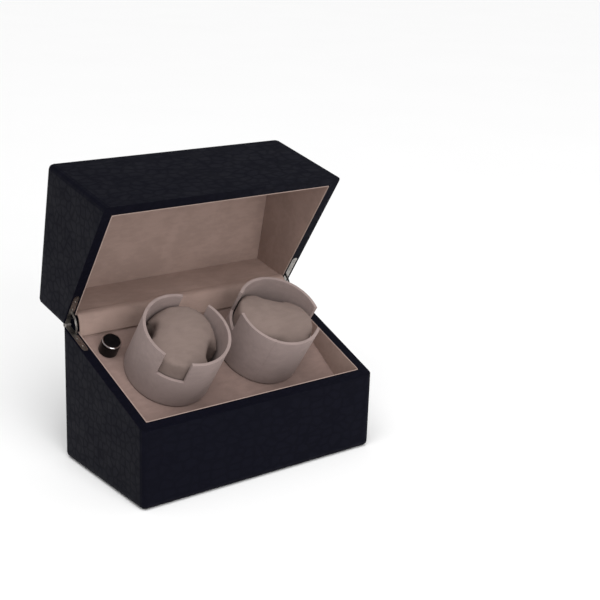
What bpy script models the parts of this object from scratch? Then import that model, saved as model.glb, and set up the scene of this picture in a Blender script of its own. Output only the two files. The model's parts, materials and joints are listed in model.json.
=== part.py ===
"""Two-cup watch winder box with a slanted lid, as separate pieces that move as the real ones do.

Metres, +Z up, front towards -Y, origin at the middle of the underside.  The lid stands open on its
stays.  The sloping deck carries two turning cups, a knob, and the belt drives underneath.
"""
import math

import bmesh
import bpy
from mathutils import Matrix, Vector
from mathutils.geometry import interpolate_bezier

# Overall box, closed
WIDTH = 0.275
DEPTH = 0.150
HEIGHT = 0.1925
FRONT_RIM = 0.080
BACK_RIM = 0.139
CORNER_RADIUS = 0.0055

# Walls: each holds the leather, a glue gap and the wood
SIDE_WALL = 0.0100
FRONT_WALL = 0.0102
BACK_WALL = 0.0112
TOP_WALL = 0.0092
LEATHER = 0.0010
LINING = 0.0010
LINING_DROP = 0.0008
GAP = 0.0003
RIM_GAP = 0.0005

# Underside
UNDERSIDE = 0.0004
FELT = 0.0012
PANEL = 0.0040
REBATE = 0.0040
UNDER_TURN = 0.0062

# Sloping deck
DECK_FRONT = 0.0418
DECK_BACK_DROP = 0.0073
DECK = 0.0040
BATTEN_WIDTH = 0.008
BATTEN_HEIGHT = 0.010
BATTEN_INSET = 0.004

# Lid hinge
LID_OPEN = math.radians(79.0)
LEAF_LENGTH = 0.041
LEAF_WIDTH = 0.0060
LEAF = 0.0015
LEAF_OUTER_INSET = 0.0022
LEAF_ROOM = 0.0020
BARREL_RADIUS = 0.0025
KNUCKLE_GAP = 0.0004
PIN_RADIUS = 0.0011
PIN_CLEARANCE = 0.00015
LEAF_SCREWS = (0.0235, 0.0350)
LEAF_SCREW_HEAD = 0.0020
LEAF_SCREW_SHANK = 0.0010
LEAF_SCREW_LENGTH = 0.009
LEAF_SCREW_RIM = 0.0003
LEAF_SCREW_SLOT = (0.0004, 0.0030, 0.0006)
STAY_RADIUS = 0.0150
STAY_WIDTH = 0.0024
STAY = 0.0009
STAY_INSET = 0.0004
STAY_EASE = 0.0002
STAY_HOOK = 0.0012
STAY_HOOK_ANGLE = math.radians(5.0)
CLOTH = 0.0008
CLOTH_TAB = 0.0045

# Cups, axis square to the deck
CUP_SPACING = 0.111
CUP_BACK_MARGIN = 0.0135
CUP_RADIUS = 0.0445
CUP_WALL = 0.0030
CUP_BOTTOM = 0.0018
CUP_TOP = 0.0655
CUP_ANGLES = {"left": math.radians(50.0), "right": math.radians(154.0)}
NOTCH_WIDTH = 0.027
NOTCH_DEPTH = 0.027
FLOOR_BOTTOM = 0.0034
FLOOR = 0.0040
CUSHION_CLEARANCE = 0.0012
CUSHION_SHOULDER = 0.028
CUSHION_TOP = 0.0575
STRAP_WIDTH = 0.026
STRAP_DEPTH = 0.0135

# Drive
SPINDLE_RADIUS = 0.0030
SPINDLE_BELOW = 0.022
BUSH_WALL = 0.0022
BUSH_FLANGE = 0.0085
BUSH_FLANGE_THICKNESS = 0.0010
BUSH_BELOW = 0.0095
PULLEY_TOP = -0.0115
PULLEY_WIDTH = 0.0060
PULLEY_LIP = 0.0014
PULLEY_STAND = 0.0004
PULLEY_EASE = 0.0003
BELT = 0.0012
DRIVEN_PITCH_RADIUS = 0.0154
MOTOR_PITCH_RADIUS = 0.0044
MOTOR_OFFSET = 0.034
MOTOR_RADIUS = 0.0120
MOTOR_HEAD = 0.0100
MOTOR_CAN_RADIUS = 0.0100
MOTOR_LENGTH = 0.030
MOTOR_SHAFT_RADIUS = 0.0015
MOTOR_BORE = 0.0050
PULLEY_RISE = 0.0010
BRACKET_DROP = 0.0210
BRACKET = 0.0015
BRACKET_WIDTH = 0.016
BRACKET_ROOM = 0.004
BRACKET_FOOT = 0.010
BRACKET_CLEARANCE = 0.001

# Knob and switch
KNOB_SIDE_MARGIN = 0.0235
KNOB_BACK_MARGIN = 0.0200
KNOB_RADIUS = 0.0098
KNOB_HEIGHT = 0.0146
KNOB_LIFT = 0.0008
KNOB_RING = 0.0012
KNOB_RING_EASE = 0.0003
KNOB_WEB = 0.0030
SWITCH_SHAFT_RADIUS = 0.0030
SHAFT_BELOW = 0.0040
SHAFT_SHY = 0.0005
SWITCH_COLLAR = 0.0009
COLLAR_ROOT = 0.0010
COLLAR_PROUD = 0.0006
SWITCH_SIZE = (0.016, 0.014, 0.009)
NUT_RADIUS = 0.0055
NUT = 0.0018
NUT_ROOM = 0.0010

# Power and control
INLET_SIDE_MARGIN = 0.0475
INLET_Z = 0.028
INLET_RADIUS = 0.0055
INLET_FLANGE = 0.0072
INLET_FACE = 0.0012
INLET_TAIL = 0.0080
INLET_PIN = 0.0009
INLET_PIN_SHY = 0.0010
SOCKET_DEPTH = 0.0090
SOCKET_RADIUS = 0.0032
BOARD_SIZE = (0.070, 0.036, 0.0016)
BOARD_SIDE_MARGIN = 0.0475
BOARD_Y = -0.010
BOARD_LIFT = 0.0040
SOCKETS = {"power": -0.020, "switch": -0.004, "left": 0.012, "right": 0.027}
SOCKET_ROW = 0.011
SOCKET_SIZE = (0.009, 0.006, 0.007)
BOARD_ROOT = 0.0005
PILLAR_RADIUS = 0.0025
PILLAR_INSET = 0.0040
CHIP_LOW = (-0.003, -0.008)
CHIP_HIGH = (0.007, 0.000)
CHIP = 0.002
CAPACITOR_PLACE = (-0.020, -0.008)
CAPACITOR_RADIUS = 0.004
CAPACITOR = 0.011
LEAD_RADIUS = 0.0010
LEAD_STEP = 0.005
LEAD_GAP = 0.0006
LEAD_RISE = 0.006
LEAD_REACH = 0.010

# How far a cutter runs past what it cuts
PAST = 0.010

ROUND = 40
SMALL_ROUND = 18
TINY_ROUND = 12
CORNER_STEPS = 3

# Worked out from the values above
RIM_SLOPE = math.atan2(BACK_RIM - FRONT_RIM, DEPTH)
INNER_X = WIDTH / 2 - SIDE_WALL
INNER_FRONT = -DEPTH / 2 + FRONT_WALL
INNER_BACK = DEPTH / 2 - BACK_WALL
INNER_TOP = HEIGHT - TOP_WALL
PANEL_BOTTOM = FELT + GAP
PANEL_TOP = PANEL_BOTTOM + PANEL
REBATE_X = INNER_X + REBATE
REBATE_FRONT = INNER_FRONT - REBATE
REBATE_BACK = INNER_BACK + REBATE
HINGE = Vector((0.0, DEPTH / 2, BACK_RIM))
LEAF_OUTER_X = WIDTH / 2 - LEAF_OUTER_INSET
LEAF_INNER_X = LEAF_OUTER_X - LEAF_WIDTH
CUP_INNER_RADIUS = CUP_RADIUS - CUP_WALL
DECK_START = Vector((0.0, INNER_FRONT + GAP + LINING, DECK_FRONT))
DECK_END = INNER_BACK - GAP - LINING
DECK_BACK = BACK_RIM - (DEPTH / 2 - DECK_END) * math.tan(RIM_SLOPE) - DECK_BACK_DROP
DECK_SLOPE = math.atan2(DECK_BACK - DECK_FRONT, DECK_END - DECK_START.y)
DECK_LENGTH = math.hypot(DECK_BACK - DECK_FRONT, DECK_END - DECK_START.y)
CUP_UP_DECK = DECK_LENGTH - CUP_BACK_MARGIN - CUP_RADIUS
KNOB_X = KNOB_SIDE_MARGIN - INNER_X
KNOB_UP_DECK = DECK_LENGTH - KNOB_BACK_MARGIN
BOARD_PLACE = (BOARD_SIDE_MARGIN - INNER_X, BOARD_Y)
INLET_X = INLET_SIDE_MARGIN - INNER_X
PULLEY_MIDDLE = PULLEY_TOP - PULLEY_WIDTH / 2
MOTOR_TOP = -BRACKET_DROP - BRACKET - GAP

# Local X, Y, Z of a flat outline turned to world Y, Z, X
TO_SIDE = Matrix(((0, 0, 1, 0), (1, 0, 0, 0), (0, 1, 0, 0), (0, 0, 0, 1)))

FINISHES = {
    "leather": ((0.012, 0.012, 0.019), 0.45, 0.0),
    "wood": ((0.52, 0.38, 0.24), 0.70, 0.0),
    "suede": ((0.30, 0.215, 0.185), 0.95, 0.0),
    "cushion": ((0.36, 0.27, 0.23), 0.90, 0.0),
    "felt": ((0.02, 0.02, 0.022), 1.0, 0.0),
    "nickel": ((0.62, 0.60, 0.57), 0.25, 1.0),
    "steel": ((0.50, 0.50, 0.52), 0.35, 1.0),
    "brass": ((0.72, 0.55, 0.28), 0.35, 1.0),
    "black_gloss": ((0.012, 0.012, 0.013), 0.12, 0.0),
    "chrome": ((0.85, 0.85, 0.87), 0.06, 1.0),
    "white_plastic": ((0.75, 0.74, 0.70), 0.45, 0.0),
    "black_plastic": ((0.03, 0.03, 0.032), 0.45, 0.0),
    "rubber": ((0.02, 0.02, 0.02), 0.80, 0.0),
    "board": ((0.03, 0.20, 0.09), 0.50, 0.0),
}


# ---------------------------------------------------------------- planes and places

def rim(y, off=0.0):
    """Height of the rim plane at y, moved by off along the plane's normal."""
    return BACK_RIM - (DEPTH / 2 - y) * math.tan(RIM_SLOPE) + off / math.cos(RIM_SLOPE)


def deck(y, off=0.0):
    """Height of the deck's top face at y, moved by off along its normal."""
    return DECK_FRONT + (y - DECK_START.y) * math.tan(DECK_SLOPE) + off / math.cos(DECK_SLOPE)


def level(z):
    """A flat height, in the form that wedge takes."""
    return lambda y: z


def rim_plane(off=0.0):
    """The rim plane moved by off, in the form that wedge takes."""
    return lambda y: rim(y, off)


def deck_plane(off=0.0):
    """The deck's plane moved by off, in the form that wedge takes."""
    return lambda y: deck(y, off)


def arc(radius, start, end, steps):
    """Points on a circle about the origin, from one angle to another, ends included."""
    angles = [start + (end - start) * i / steps for i in range(steps + 1)]
    return [(radius * math.cos(a), radius * math.sin(a)) for a in angles]


# ---------------------------------------------------------------- scene helpers

def clear_scene():
    """Remove what the scene holds."""
    for obj in list(bpy.data.objects):
        bpy.data.objects.remove(obj)


def collection(name):
    """A new collection, linked to the scene."""
    group = bpy.data.collections.new(name)
    bpy.context.scene.collection.children.link(group)
    return group


def empty(name, parent=None, location=(0, 0, 0), rotation=(0, 0, 0)):
    """An empty that carries pieces; a moving one stands on its joint's axis."""
    obj = bpy.data.objects.new(name, None)
    obj.empty_display_size = 0.01
    obj.location = location
    obj.rotation_euler = rotation
    obj.parent = parent
    PARTS.objects.link(obj)
    return obj


def material(name, finish):
    """A Principled material with the finish's colour, roughness and metallic value."""
    colour, roughness, metallic = FINISHES[finish]
    mat = bpy.data.materials.new(name)
    mat.use_nodes = True
    shader = mat.node_tree.nodes["Principled BSDF"]
    shader.inputs["Base Color"].default_value = (*colour, 1.0)
    shader.inputs["Roughness"].default_value = roughness
    shader.inputs["Metallic"].default_value = metallic
    mat.diffuse_color = (*colour, 1.0)
    return mat


def piece(name, data, finish, parent=None, location=(0, 0, 0), rotation=(0, 0, 0)):
    """A named piece of the object, from a mesh or a curve, with its own material."""
    obj = bpy.data.objects.new(name, data)
    obj.location = location
    obj.rotation_euler = rotation
    obj.parent = parent
    data.materials.clear()
    data.materials.append(material(name, finish))
    PARTS.objects.link(obj)
    return obj


def cutter(name, mesh, parent=None, location=(0, 0, 0), rotation=(0, 0, 0)):
    """A shape that only cuts others."""
    obj = bpy.data.objects.new(name, mesh)
    obj.location = location
    obj.rotation_euler = rotation
    obj.parent = parent
    obj.hide_render = True
    obj.display_type = "WIRE"
    CUTTERS.objects.link(obj)
    return obj


def boolean(obj, tool, operation="DIFFERENCE"):
    """Add an exact Boolean of the tool to the object."""
    modifier = obj.modifiers.new(f"{operation.lower()}_{tool.name}", "BOOLEAN")
    modifier.object = tool
    modifier.operation = operation
    modifier.solver = "EXACT"


def smooth(obj, angle=35.0):
    """Shade round faces smooth and keep the corners sharp."""
    obj.data.shade_smooth()
    obj.data.set_sharp_from_angle(angle=math.radians(angle))


# ---------------------------------------------------------------- mesh makers

def mesh_of(bm, name):
    """A mesh made from a bmesh, its faces pointing out."""
    bmesh.ops.recalc_face_normals(bm, faces=bm.faces)
    mesh = bpy.data.meshes.new(name)
    bm.to_mesh(mesh)
    bm.free()
    return mesh


def wedge(name, half_width, front, back, bottom, top, radius=0.0, square=None):
    """A box across X whose bottom and top heights follow functions of y.

    With a radius its edges are rounded, except those of the "top" or "bottom" face named by square.
    """
    bm = bmesh.new()
    bmesh.ops.create_cube(bm, size=2.0)
    kept = []
    for vert in bm.verts:
        is_top = vert.co.z > 0
        y = back if vert.co.y > 0 else front
        vert.co = (math.copysign(half_width, vert.co.x), y, top(y) if is_top else bottom(y))
        if is_top == (square == "top"):
            kept.append(vert)
    if radius > 0.0:
        edges = [e for e in bm.edges if not all(v in kept for v in e.verts)]
        bmesh.ops.bevel(bm, geom=edges, offset=radius, offset_type="OFFSET", segments=CORNER_STEPS,
                        profile=0.5, affect="EDGES", clamp_overlap=True)
    return mesh_of(bm, name)


def box(name, low, high):
    """A plain box between two corners."""
    bm = bmesh.new()
    bmesh.ops.create_cube(bm, size=1.0)
    low, high = Vector(low), Vector(high)
    size = high - low
    for vert in bm.verts:
        vert.co = (low + high) / 2 + Vector(c * s for c, s in zip(vert.co, size))
    return mesh_of(bm, name)


def cylinder(name, radius, low, high, steps=SMALL_ROUND, tip=None):
    """A cylinder along Z between two heights, or a cone with a tip radius at the top."""
    bm = bmesh.new()
    bmesh.ops.create_cone(bm, cap_ends=True, segments=steps, radius1=radius,
                          radius2=radius if tip is None else tip, depth=high - low)
    bmesh.ops.translate(bm, verts=bm.verts, vec=(0, 0, (low + high) / 2))
    return mesh_of(bm, name)


def outline(name, loops, thickness):
    """A flat outline in local XY, thick along Z about zero; loops after the first are holes."""
    curve = bpy.data.curves.new(name, "CURVE")
    curve.dimensions = "2D"
    curve.fill_mode = "BOTH"
    curve.extrude = thickness / 2
    for loop in loops:
        spline = curve.splines.new("POLY")
        spline.points.add(len(loop) - 1)
        for point, (x, y) in zip(spline.points, loop):
            point.co = (x, y, 0.0, 1.0)
        spline.use_cyclic_u = True
    source = bpy.data.objects.new(name, curve)
    bpy.context.scene.collection.objects.link(source)
    graph = bpy.context.evaluated_depsgraph_get()
    bm = bmesh.new()
    bm.from_mesh(source.evaluated_get(graph).to_mesh())
    bpy.data.objects.remove(source)
    bpy.data.curves.remove(curve)
    bmesh.ops.remove_doubles(bm, verts=bm.verts, dist=1e-6)
    return mesh_of(bm, name)


def side_outline(name, loops, x_low, x_high):
    """A flat outline given in world Y and Z, between two X places."""
    mesh = outline(name, loops, x_high - x_low)
    mesh.transform(Matrix.Translation(((x_low + x_high) / 2, 0, 0)) @ TO_SIDE)
    return mesh


def turned(name, profile, finish, steps=ROUND, **place):
    """A turned piece: a closed profile of (radius, height) points screwed about Z.

    The points run down the outer side, then back up the inner one or the axis.
    """
    mesh = profile_mesh(name, profile)
    obj = piece(name, mesh, finish, **place)
    add_screw(obj, steps)
    return obj


def profile_mesh(name, profile):
    """The edges of a turned shape's profile; one that starts and ends on the axis stays open."""
    mesh = bpy.data.meshes.new(name)
    count = len(profile)
    on_axis = profile[0][0] == 0.0 and profile[-1][0] == 0.0
    edges = [(i, i + 1) for i in range(count - 1)]
    if not on_axis:
        edges.append((count - 1, 0))
    mesh.from_pydata([(r, 0.0, z) for r, z in profile], edges, [])
    return mesh


def add_screw(obj, steps):
    """Turn an object's profile about its Z axis."""
    screw = obj.modifiers.new("turn", "SCREW")
    screw.axis = "Z"
    screw.angle = math.tau
    screw.steps = steps
    screw.render_steps = steps
    screw.use_merge_vertices = True
    screw.merge_threshold = 0.00001
    screw.use_smooth_shade = True


def turned_cutter(name, profile, steps=SMALL_ROUND, **place):
    """A turned shape that only cuts others."""
    obj = cutter(name, profile_mesh(name, profile), **place)
    add_screw(obj, steps)
    return obj


def screw_profile(head, shank, length, spread=0.0):
    """Profile of a countersunk screw, head up at zero; spread widens it into its own hole."""
    cone = head - shank
    return [(0.0, spread), (head + spread, spread), (head + spread, -LEAF_SCREW_RIM),
            (shank + spread, -LEAF_SCREW_RIM - cone), (shank + spread, -length + shank),
            (0.0, -length - spread)]


# ---------------------------------------------------------------- case

def case_block(name, inset, upper):
    """The base's or the lid's rounded outer block, moved in by inset on every face."""
    half = WIDTH / 2 - inset
    front, back = -DEPTH / 2 + inset, DEPTH / 2 - inset
    off = RIM_GAP / 2 + inset
    radius = CORNER_RADIUS - inset
    if upper:
        return wedge(name, half, front, back, rim_plane(off), level(HEIGHT - inset), radius, "bottom")
    return wedge(name, half, front, back, level(UNDERSIDE + inset), rim_plane(-off), radius, "top")


def cavity(name, bottom, top, inset=0.0):
    """The space inside the four walls, between two heights, made smaller by inset."""
    return wedge(name, INNER_X - inset, INNER_FRONT + inset, INNER_BACK - inset, bottom, top)


def make_base_case():
    """The base's wooden walls, open above and below, with a rebate for the bottom panel."""
    case = piece("base_case", case_block("base_case", LEATHER + GAP, upper=False), "wood")
    boolean(case, cutter("base_hollow", cavity("base_hollow", level(-PAST), level(HEIGHT))))
    rebate = wedge("base_rebate", REBATE_X, REBATE_FRONT, REBATE_BACK, level(-PAST), level(PANEL_TOP + GAP))
    boolean(case, cutter("base_rebate", rebate))
    return case


def make_base_leather():
    """The leather round the base's walls, over the rim and a little way under the bottom."""
    leather = piece("base_leather", case_block("base_leather", 0.0, upper=False), "leather")
    boolean(leather, cutter("base_core", case_block("base_core", LEATHER, upper=False)))
    boolean(leather, cutter("base_mouth", cavity("base_mouth", level(FRONT_RIM / 2), level(HEIGHT))))
    under = wedge("base_under", WIDTH / 2 - UNDER_TURN, UNDER_TURN - DEPTH / 2, DEPTH / 2 - UNDER_TURN,
                  level(-PAST), level(FRONT_RIM / 4))
    boolean(leather, cutter("base_under", under))
    return leather


def make_underside():
    """The bottom panel in its rebate, and the felt that the box stands on."""
    piece("bottom_panel", wedge("bottom_panel", REBATE_X - GAP, REBATE_FRONT + GAP, REBATE_BACK - GAP,
                                level(PANEL_BOTTOM), level(PANEL_TOP)), "wood")
    edge = UNDER_TURN + GAP
    piece("base_felt", wedge("base_felt", WIDTH / 2 - edge, edge - DEPTH / 2, DEPTH / 2 - edge,
                             level(0.0), level(FELT)), "felt")


def make_base_lining():
    """The suede-covered card band round the base's inside, from the deck up to the rim."""
    top = rim_plane(-RIM_GAP / 2 - LINING_DROP)
    lining = piece("base_lining", cavity("base_lining", deck_plane(GAP), top, GAP), "suede")
    boolean(lining, cutter("base_lining_hollow",
                           cavity("base_lining_hollow", level(0.0), level(HEIGHT), GAP + LINING)))


def make_deck():
    """The suede-covered deck on its two battens."""
    panel = piece("deck_panel", cavity("deck_panel", deck_plane(-DECK), deck_plane(), GAP), "suede")
    for side, sign in (("left", -1), ("right", 1)):
        batten = wedge("batten", BATTEN_WIDTH / 2, INNER_FRONT + BATTEN_INSET, INNER_BACK - BATTEN_INSET,
                       deck_plane(-DECK - GAP - BATTEN_HEIGHT), deck_plane(-DECK - GAP))
        piece(f"batten_{side}", batten, "wood",
              location=(sign * (INNER_X - GAP - BATTEN_WIDTH / 2), 0, 0))
    return panel


# ---------------------------------------------------------------- lid

def make_lid(lid_axis):
    """The lid's wood, leather and lining, modelled closed and carried by the hinge's empty."""
    place = {"parent": lid_axis, "location": -HINGE}
    case = piece("lid_case", case_block("lid_case", LEATHER + GAP, upper=True), "wood", **place)
    boolean(case, cutter("lid_hollow", cavity("lid_hollow", level(0.0), level(INNER_TOP)), **place))

    leather = piece("lid_leather", case_block("lid_leather", 0.0, upper=True), "leather", **place)
    boolean(leather, cutter("lid_core", case_block("lid_core", LEATHER, upper=True), **place))
    mouth = cavity("lid_mouth", level(0.0), level((BACK_RIM + HEIGHT) / 2))
    boolean(leather, cutter("lid_mouth", mouth, **place))

    under_top = INNER_TOP - GAP - LINING
    piece("lid_lining_top", cavity("lid_lining_top", level(under_top), level(INNER_TOP - GAP), GAP),
          "suede", **place)
    walls = cavity("lid_lining_walls", rim_plane(RIM_GAP / 2 + LINING_DROP), level(under_top - GAP), GAP)
    lining = piece("lid_lining_walls", walls, "suede", **place)
    hollow = cavity("lid_lining_hollow", level(0.0), level(HEIGHT + PAST), GAP + LINING)
    boolean(lining, cutter("lid_lining_hollow", hollow, **place))
    return case, leather


def opened(y, z):
    """Where a point of the closed lid's side view goes when the lid stands open."""
    turned_point = Matrix.Rotation(-LID_OPEN, 2) @ (Vector((y, z)) - HINGE.yz)
    return turned_point + HINGE.yz


def make_hinge_cloth():
    """The suede strip that bridges the hinge gap, glued to the base's and the lid's back linings."""
    face = INNER_BACK - GAP - LINING - GAP - CLOTH / 2
    start = Vector((face, rim(face, -RIM_GAP / 2 - LINING_DROP) - CLOTH_TAB))
    low = Vector((face, rim(face, -RIM_GAP / 2)))
    high = opened(face, rim(face, RIM_GAP / 2))
    end = opened(face, rim(face, RIM_GAP / 2 + LINING_DROP) + CLOTH_TAB)
    reach = (high - low).length / 3
    bridge = interpolate_bezier(low.to_3d(), (low + (low - start).normalized() * reach).to_3d(),
                                (high + (high - end).normalized() * reach).to_3d(), high.to_3d(), 9)
    line = [start, *(point.xy for point in bridge), end]
    half = INNER_X - GAP - LINING - 2 * GAP
    bm = bmesh.new()
    rows = [[bm.verts.new((x, p.x, p.y)) for x in (-half, half)] for p in line]
    for (a, b), (c, d) in zip(rows, rows[1:]):
        bm.faces.new((a, b, d, c))
    mesh = bpy.data.meshes.new("hinge_cloth")
    bm.to_mesh(mesh)
    bm.free()
    cloth = piece("hinge_cloth", mesh, "suede")
    shell = cloth.modifiers.new("thickness", "SOLIDIFY")
    shell.thickness = CLOTH
    shell.offset = 0.0
    shell.use_even_offset = True


# ---------------------------------------------------------------- hinges

def leaf_outline(spread):
    """A leaf's plan, from the axis (Y zero) to its round far end; the mortise, with a spread, passes it."""
    half = LEAF_WIDTH / 2 + spread
    centre = -LEAF_LENGTH + LEAF_WIDTH / 2
    end = [(x, centre + y) for x, y in arc(half, math.pi, math.tau, 8)]
    start = BARREL_RADIUS if spread > 0.0 else 0.0
    return [(half, start), (-half, start), *end]


def leaf_plate(name, thickness, bottom, spread=0.0):
    """A leaf's plate as a mesh in the rim's frame, its lower face at bottom."""
    mesh = outline(name, [leaf_outline(spread)], thickness)
    mesh.transform(Matrix.Translation((0, 0, bottom + thickness / 2)))
    return mesh


def along_x(mesh, centre=0.0):
    """Turn a mesh's Z axis to X and move it along X."""
    mesh.transform(Matrix.Translation((centre, 0, 0)) @ Matrix.Rotation(math.pi / 2, 4, "Y"))
    return mesh


def knuckle_spans():
    """The X spans of the three knuckles about the leaf's middle: outer, middle, outer."""
    width = (LEAF_WIDTH - 2 * KNUCKLE_GAP) / 3
    starts = [-LEAF_WIDTH / 2 + i * (width + KNUCKLE_GAP) for i in range(3)]
    return [(start, start + width) for start in starts]


def stay_shape(start, end, spread=0.0, hooked=True):
    """A stay's outline about the hinge axis: a curved strip with a hook outwards at each end."""
    inner = STAY_RADIUS - STAY_WIDTH / 2 - spread
    outer = STAY_RADIUS + STAY_WIDTH / 2 + spread
    if not hooked:
        outer += STAY_HOOK
        return arc(outer, start, end, 14) + arc(inner, end, start, 14)
    hook = outer + STAY_HOOK
    step = STAY_HOOK_ANGLE
    return (arc(hook, start, start + step, 2) + arc(outer, start + step, end - step, 16)
            + arc(hook, end - step, end, 2) + arc(inner, end, start, 18))


def make_leaf(name, sign, upper, frame, place, plates):
    """One hinge leaf with its knuckles, screw holes and the notch that the stay passes through."""
    flip = 1 if upper else -1
    face = flip * RIM_GAP / 2
    bottom = face if upper else face - LEAF
    leaf = piece(name, leaf_plate(name, LEAF, bottom), "nickel", parent=frame, location=place)
    spans = knuckle_spans()
    own = [spans[1]] if upper else [spans[0], spans[2]]
    other = [spans[0], spans[2]] if upper else [spans[1]]
    clear = BARREL_RADIUS + GAP
    for index, (low, high) in enumerate(other):
        low -= KNUCKLE_GAP / 2
        high += KNUCKLE_GAP / 2
        room = cylinder(f"{name}_room", clear, low, high)
        boolean(leaf, cutter(f"{name}_room_{index}", along_x(room), parent=frame, location=place))
    for index, (low, high) in enumerate(own):
        knuckle = along_x(cylinder(f"{name}_knuckle", BARREL_RADIUS, low, high))
        boolean(leaf, cutter(f"{name}_knuckle_{index}", knuckle, parent=frame, location=place), "UNION")
    bore = along_x(cylinder(f"{name}_bore", PIN_RADIUS + PIN_CLEARANCE, -LEAF_WIDTH, LEAF_WIDTH))
    boolean(leaf, cutter(f"{name}_bore", bore, parent=frame, location=place))

    inner_edge = -sign * LEAF_WIDTH / 2
    notch_far = inner_edge + sign * (STAY_INSET + STAY + GAP)
    notch_x = sorted((inner_edge - sign * GAP, notch_far))
    deep = 2 * LEAF
    low_y, high_y = (-STAY_RADIUS + flip * (STAY_WIDTH / 2 + GAP) for flip in (-1, 1))
    notch = box(f"{name}_notch", (notch_x[0], low_y - STAY_EASE, face - deep),
                (notch_x[1], high_y, face + deep))
    boolean(leaf, cutter(f"{name}_notch", notch, parent=frame, location=place))

    size = LEAF_SCREW_HEAD, LEAF_SCREW_SHANK, LEAF_SCREW_LENGTH
    for index, reach in enumerate(LEAF_SCREWS):
        spot = Vector(place) + Vector((0, -reach, face))
        turn = (math.pi if upper else 0.0, 0, 0)
        screw = turned(f"{name}_screw_{index + 1}", screw_profile(*size), "nickel",
                       steps=TINY_ROUND, parent=frame, location=spot, rotation=turn)
        wide, long, deep = LEAF_SCREW_SLOT
        slot = box(f"{name}_slot_{index}", (-wide, -long, -deep), (wide, long, PAST))
        boolean(screw, cutter(f"{name}_slot_{index}", slot, parent=frame, location=spot, rotation=turn))
        hole = turned_cutter(f"{name}_screw_hole_{index}", screw_profile(*size, GAP),
                             steps=TINY_ROUND, parent=frame, location=spot, rotation=turn)
        boolean(leaf, hole)
        for plate in plates:
            boolean(plate, hole)


def make_mortise(name, sign, upper, frame, place, plates):
    """Cut the leaf's, the barrel's and the stay's room out of the wood and the leather."""
    flip = 1 if upper else -1
    depth = LEAF + GAP
    low = flip * RIM_GAP / 2 - (LEAF_ROOM if upper else depth)
    room = leaf_plate(f"{name}_room", depth + LEAF_ROOM, low, GAP)
    reach = LEAF_WIDTH / 2 + 1.5 * GAP
    barrel = along_x(cylinder(f"{name}_barrel", BARREL_RADIUS + GAP, -reach, reach))
    swing = LID_OPEN / 2 + stay_tail() + math.radians(3.0)
    start, end = (-math.radians(3.0), swing) if not upper else (-swing, math.radians(3.0))
    x_mid = -sign * (LEAF_WIDTH / 2 - STAY_INSET - STAY / 2)
    pocket = side_outline(f"{name}_pocket",
                          [stay_shape(math.pi + start, math.pi + end, GAP, hooked=False)],
                          x_mid - STAY / 2 - GAP, x_mid + STAY / 2 + GAP)
    for part, mesh in (("room", room), ("barrel", barrel), ("pocket", pocket)):
        tool = cutter(f"{name}_{part}", mesh, parent=frame, location=place)
        for plate in plates:
            boolean(plate, tool)


def stay_tail():
    """The angle of a stay that stays hidden behind each rim when the lid is open."""
    return (RIM_GAP / 2 + LEAF + GAP) / STAY_RADIUS + STAY_HOOK_ANGLE


def make_hinges(lid_axis, base_plates, lid_plates):
    """Both side hinges: two leaves, a pin and a sliding curved stay in each side rim."""
    base_frame = empty("base_rim_frame", location=HINGE, rotation=(RIM_SLOPE, 0, 0))
    lid_frame = empty("lid_rim_frame", parent=lid_axis, rotation=(RIM_SLOPE, 0, 0))
    for side, sign in (("left", -1), ("right", 1)):
        middle = (sign * (LEAF_OUTER_X + LEAF_INNER_X) / 2, 0, 0)
        make_mortise(f"base_mortise_{side}", sign, False, base_frame, middle, base_plates)
        make_mortise(f"lid_mortise_{side}", sign, True, lid_frame, middle, lid_plates)
        make_leaf(f"hinge_base_leaf_{side}", sign, False, base_frame, middle, base_plates)
        make_leaf(f"hinge_lid_leaf_{side}", sign, True, lid_frame, middle, lid_plates)
        pin = along_x(cylinder("hinge_pin", PIN_RADIUS, -LEAF_WIDTH / 2 + GAP, LEAF_WIDTH / 2 - GAP))
        piece(f"hinge_pin_{side}", pin, "steel", location=(middle[0], HINGE.y, HINGE.z))
        start = math.pi + RIM_SLOPE - LID_OPEN - stay_tail()
        end = math.pi + RIM_SLOPE + stay_tail()
        strip = side_outline("hinge_stay", [stay_shape(start, end)], -STAY / 2, STAY / 2)
        strip_x = middle[0] - sign * (LEAF_WIDTH / 2 - STAY_INSET - STAY / 2)
        piece(f"hinge_stay_{side}", strip, "nickel", location=(strip_x, HINGE.y, HINGE.z))


# ---------------------------------------------------------------- cups and drive

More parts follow.
